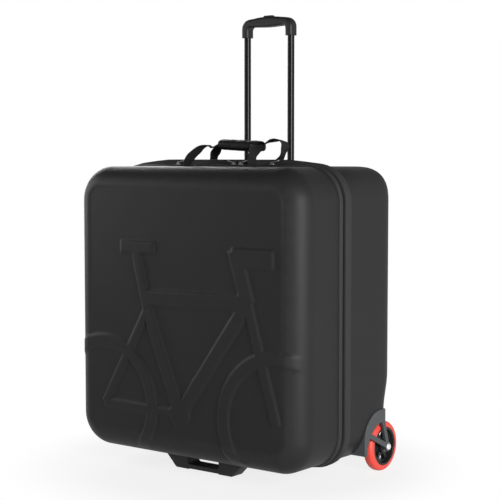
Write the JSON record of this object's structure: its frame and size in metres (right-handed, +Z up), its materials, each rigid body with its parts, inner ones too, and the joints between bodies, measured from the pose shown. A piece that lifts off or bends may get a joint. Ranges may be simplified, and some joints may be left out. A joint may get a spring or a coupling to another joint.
{
  "type": "bike travel case",
  "caption": "Upright moulded travel case for a folded bicycle: zipped clamshell with a telescopic trolley handle, webbing carry loops, rear wheels and a stand foot.",
  "frame": {"origin": "on the floor, under the middle of the object's box", "axes": "+X along the front face to the right, +Y from the front face to the back, +Z up"},
  "size_m": [0.642, 0.3874, 1.013],
  "materials": {
    "shell_fabric": "fabric-faced moulded foam, fine weave",
    "binding": "woven edge binding",
    "zip_nylon": "nylon zip",
    "webbing": "woven webbing",
    "black_plastic": "moulded, fine grain",
    "grey_plastic": "moulded, satin",
    "aluminium": "dark anodised",
    "steel": "plated",
    "zip_metal": "polished",
    "tyre_red": "cast polyurethane"
  },
  "bodies": {
    "case": {"rear_shell": "shell_fabric", "rear_rim_binding": "binding", "rear_zip_half": "zip_nylon", "hinge_leaf_rear": "webbing", "guide_tube_left": "aluminium", "guide_tube_right": "aluminium", "guide_bushes": "black_plastic", "trolley_base": "black_plastic", "trolley_base_screws": "steel", "trolley_bezel": "black_plastic", "trolley_bezel_screws": "steel", "wheel_housing_left": "grey_plastic", "wheel_housing_right": "grey_plastic", "axle_bolt_left": "steel", "axle_bolt_right": "steel", "rear_handle_anchors": "webbing", "hold_down_straps": "webbing", "strap_buckles": "black_plastic"},
    "lid": {"front_shell": "shell_fabric", "front_rim_binding": "binding", "front_zip_half": "zip_nylon", "hinge_leaf_front": "webbing", "stand_foot": "grey_plastic", "foot_screws": "steel", "front_handle_anchors": "webbing"},
    "trolley": {"inner_tube_left": "aluminium", "inner_tube_right": "aluminium", "slide_plugs": "black_plastic", "grip_front_half": "black_plastic", "grip_rear_half": "black_plastic", "grip_screws": "steel"},
    "button": {"release_button": "grey_plastic", "release_yoke": "black_plastic", "release_rods": "steel"},
    "wheel_left": {"tyre_left": "tyre_red", "wheel_core_left": "black_plastic", "bearings_left": "steel", "wheel_spacer_left": "aluminium"},
    "wheel_right": {"tyre_right": "tyre_red", "wheel_core_right": "black_plastic", "bearings_right": "steel", "wheel_spacer_right": "aluminium"},
    "front_handle": {"front_handle_strap": "webbing", "grip_wrap": "webbing"},
    "rear_handle": {"rear_handle_strap": "webbing"},
    "slider_far_left": {"zip_slider_far_left": "zip_metal"},
    "pull_far_left": {"zip_pull_far_left": "zip_metal"},
    "slider_left": {"zip_slider_left": "zip_metal"},
    "pull_left": {"zip_pull_left": "zip_metal"},
    "slider_right": {"zip_slider_right": "zip_metal"},
    "pull_right": {"zip_pull_right": "zip_metal"},
    "slider_far_right": {"zip_slider_far_right": "zip_metal"},
    "pull_far_right": {"zip_pull_far_right": "zip_metal"}
  },
  "joints": [
    {"name": "lid_hinge", "type": "hinge", "parent": "case", "child": "lid", "pos_m": [0, -0.04025, 0.029], "axis": [1, 0, 0], "range_deg": [0, 140]},
    {"name": "trolley_slide", "type": "slide", "parent": "case", "child": "trolley", "axis": [0, 0, 1], "range_m": [-0.289, 0]},
    {"name": "button_press", "type": "slide", "parent": "trolley", "child": "button", "axis": [0, 0, -1], "range_m": [0, 0.003], "stiffness_N_per_m": 900, "springref_m": -0.003},
    {"name": "wheel_left_spin", "type": "hinge", "parent": "case", "child": "wheel_left", "pos_m": [-0.296, 0.13875, 0.055], "axis": [1, 0, 0], "continuous": true},
    {"name": "wheel_right_spin", "type": "hinge", "parent": "case", "child": "wheel_right", "pos_m": [0.296, 0.13875, 0.055], "axis": [1, 0, 0], "continuous": true},
    {"name": "front_handle_fold", "type": "hinge", "parent": "lid", "child": "front_handle", "pos_m": [0, -0.07025, 0.678], "axis": [1, 0, 0], "range_deg": [0, 120]},
    {"name": "rear_handle_fold", "type": "hinge", "parent": "case", "child": "rear_handle", "pos_m": [0, 0.02675, 0.678], "axis": [1, 0, 0], "range_deg": [-65, 0]},
    {"name": "slider_far_left_slide", "type": "slide", "parent": "case", "child": "slider_far_left", "axis": [1, 0, 0], "range_m": [-0.09, 0.1]},
    {"name": "pull_far_left_flip", "type": "hinge", "parent": "slider_far_left", "child": "pull_far_left", "pos_m": [-0.133, -0.04025, 0.678], "axis": [0, -1, 0], "range_deg": [0, 120]},
    {"name": "slider_left_slide", "type": "slide", "parent": "case", "child": "slider_left", "axis": [1, 0, 0], "range_m": [-0.1, 0]},
    {"name": "pull_left_flip", "type": "hinge", "parent": "slider_left", "child": "pull_left", "pos_m": [0.028, -0.04025, 0.678], "axis": [0, 1, 0], "range_deg": [0, 120]},
    {"name": "slider_right_slide", "type": "slide", "parent": "case", "child": "slider_right", "axis": [1, 0, 0], "range_m": [0, 0.05]},
    {"name": "pull_right_flip", "type": "hinge", "parent": "slider_right", "child": "pull_right", "pos_m": [0.046, -0.04025, 0.678], "axis": [0, -1, 0], "range_deg": [0, 120]},
    {"name": "slider_far_right_slide", "type": "slide", "parent": "case", "child": "slider_far_right", "axis": [1, 0, 0], "range_m": [-0.05, 0.08]},
    {"name": "pull_far_right_flip", "type": "hinge", "parent": "slider_far_right", "child": "pull_far_right", "pos_m": [0.131, -0.04025, 0.678], "axis": [0, -1, 0], "range_deg": [0, 120]}
  ]
}
